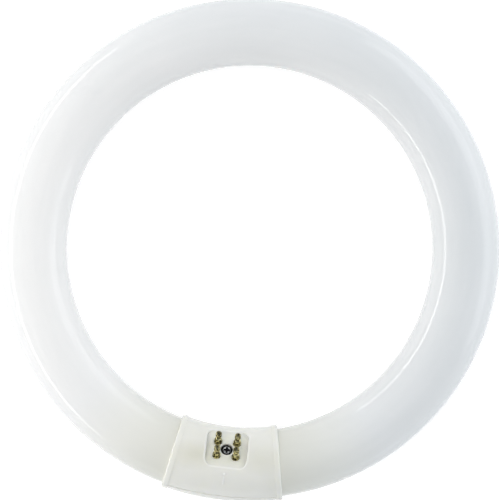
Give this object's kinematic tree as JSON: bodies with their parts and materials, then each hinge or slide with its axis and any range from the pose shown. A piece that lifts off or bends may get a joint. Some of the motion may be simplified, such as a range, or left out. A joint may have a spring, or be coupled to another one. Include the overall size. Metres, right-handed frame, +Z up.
{
  "type": "ring-shaped fluorescent tube",
  "caption": "Ring-shaped fluorescent tube: white coated glass bent into a circle, its ends held in a screwed plastic cap with brass contact pins that lean inward.",
  "frame": {"origin": "on the ring's axis, in the plane that the ring rests on", "axes": "+Z up along the ring's axis, on the side that the pins point to; the cap is at -Y; +X to the right"},
  "size_m": [0.2096, 0.211, 0.0349],
  "materials": {
    "coated_glass": "gloss, coated white inside",
    "cap_plastic": "satin moulded",
    "pin_brass": "dull",
    "screw_steel": "dark",
    "lead_wire": "plain"
  },
  "bodies": {
    "root": {"glass_tube": "coated_glass", "cap_front": "cap_plastic", "cap_back": "cap_plastic", "cap_screw": "screw_steel", "pin_inner_left": "pin_brass", "lead_wire_inner_left": "lead_wire", "pin_inner_right": "pin_brass", "lead_wire_inner_right": "lead_wire", "pin_outer_left": "pin_brass", "lead_wire_outer_left": "lead_wire", "pin_outer_right": "pin_brass", "lead_wire_outer_right": "lead_wire"}
  },
  "joints": []
}
